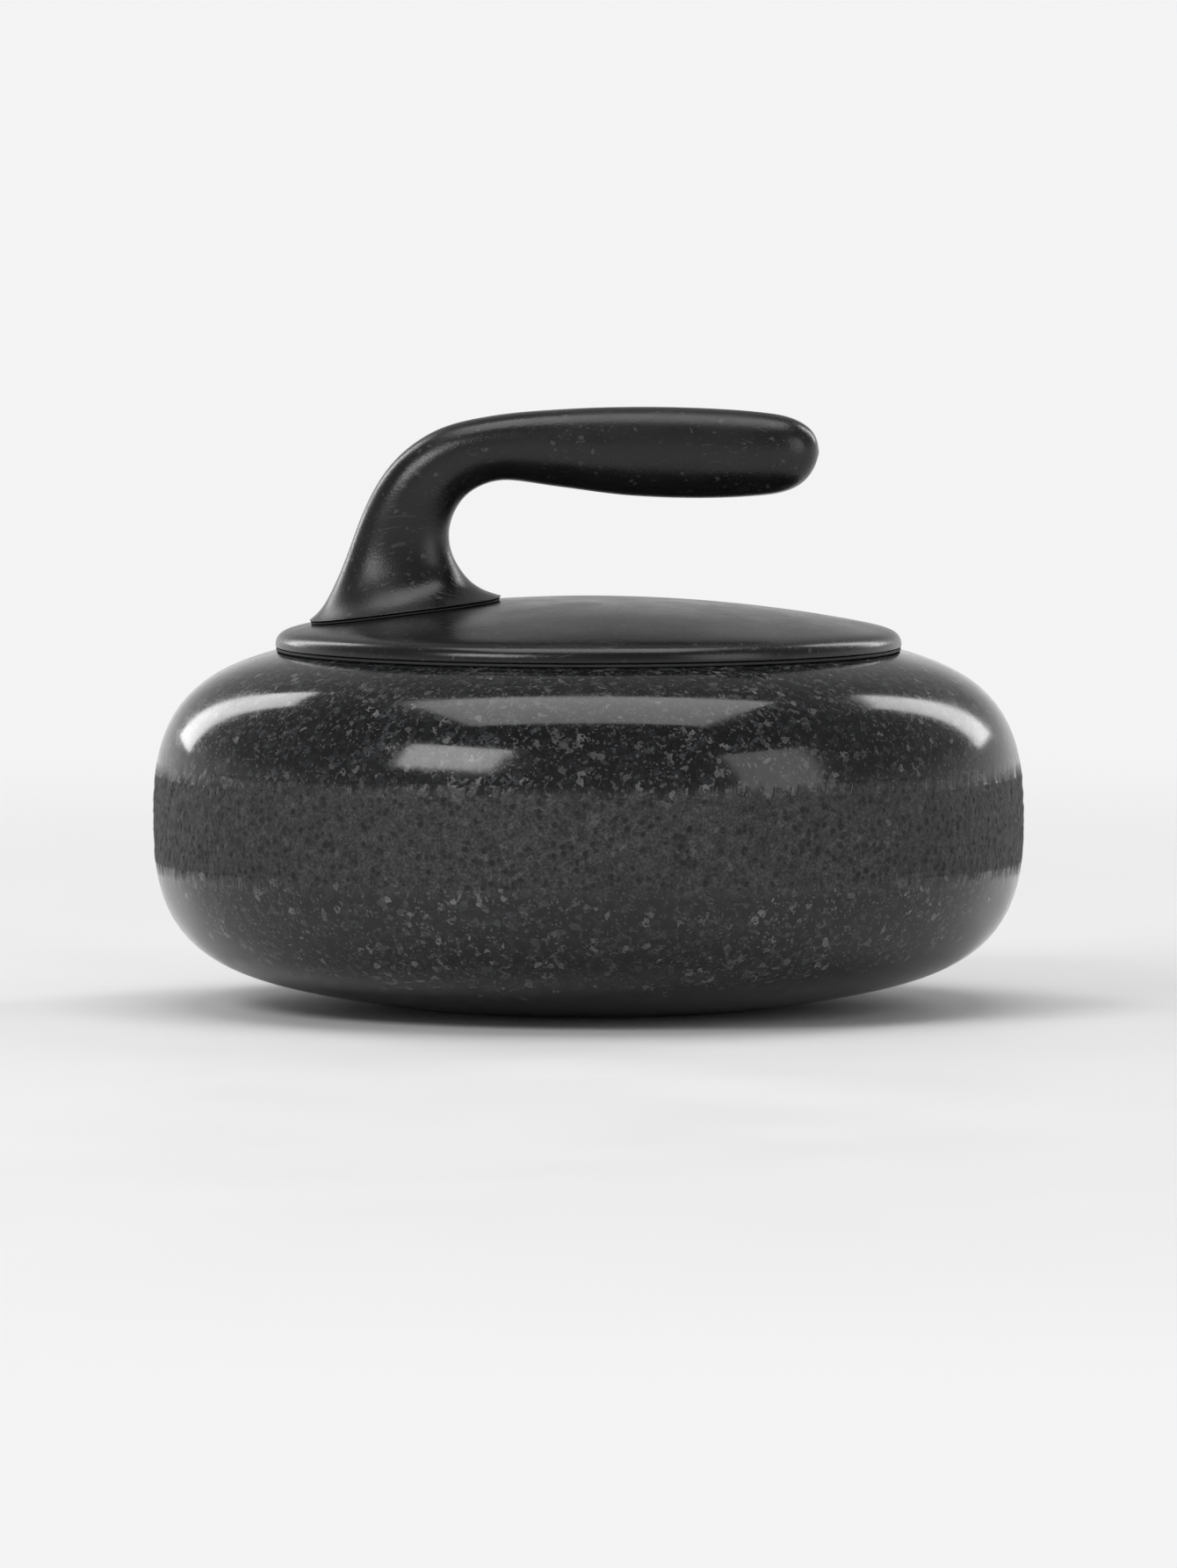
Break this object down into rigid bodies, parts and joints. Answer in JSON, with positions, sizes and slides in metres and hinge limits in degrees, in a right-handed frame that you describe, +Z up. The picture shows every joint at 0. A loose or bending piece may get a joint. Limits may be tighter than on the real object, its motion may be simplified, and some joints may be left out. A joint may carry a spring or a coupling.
{
  "type": "curling stone",
  "caption": "Round polished granite curling stone with a pecked striking band, a domed cap and a gooseneck handle bolted through its centre.",
  "frame": {"origin": "on the ice at the centre of the running band, under the stone's centre", "axes": "+Z up along the stone's axis, +X the way the grip's free end points; the neck rises on the -X side"},
  "size_m": [0.29, 0.29, 0.1991],
  "materials": {
    "granite": "polished, with a pecked matt band round the girth",
    "running_stone": "honed",
    "cap_moulding": "satin gloss moulded",
    "grip_moulding": "fine grained moulded",
    "steel": "zinc plated",
    "cast_metal": "as cast",
    "brass": "machined",
    "nylon": "moulded",
    "rubber": "matt"
  },
  "bodies": {
    "root": {"granite_body": "granite", "running_insert": "running_stone", "handle_bolt": "steel", "bolt_flat_washer": "steel", "bolt_spring_washer": "steel", "bolt_rubber_washer": "rubber", "lower_bolt_bush": "nylon", "upper_bolt_bush": "nylon", "base_seat_pad": "rubber", "base_plate": "cast_metal", "threaded_insert": "brass", "handle_cap": "cap_moulding", "cap_gasket": "rubber", "cap_screw_1": "steel", "cap_screw_2": "steel", "cap_screw_3": "steel", "cap_screw_4": "steel", "cap_screw_washer_1": "steel", "cap_screw_washer_2": "steel", "cap_screw_washer_3": "steel", "cap_screw_washer_4": "steel", "neck_screw_1": "steel", "neck_screw_2": "steel", "neck_screw_3": "steel", "neck_screw_4": "steel", "neck_foot_seal": "rubber", "grip_core": "cast_metal", "grip_shell_left": "grip_moulding", "grip_shell_right": "grip_moulding"}
  },
  "joints": []
}
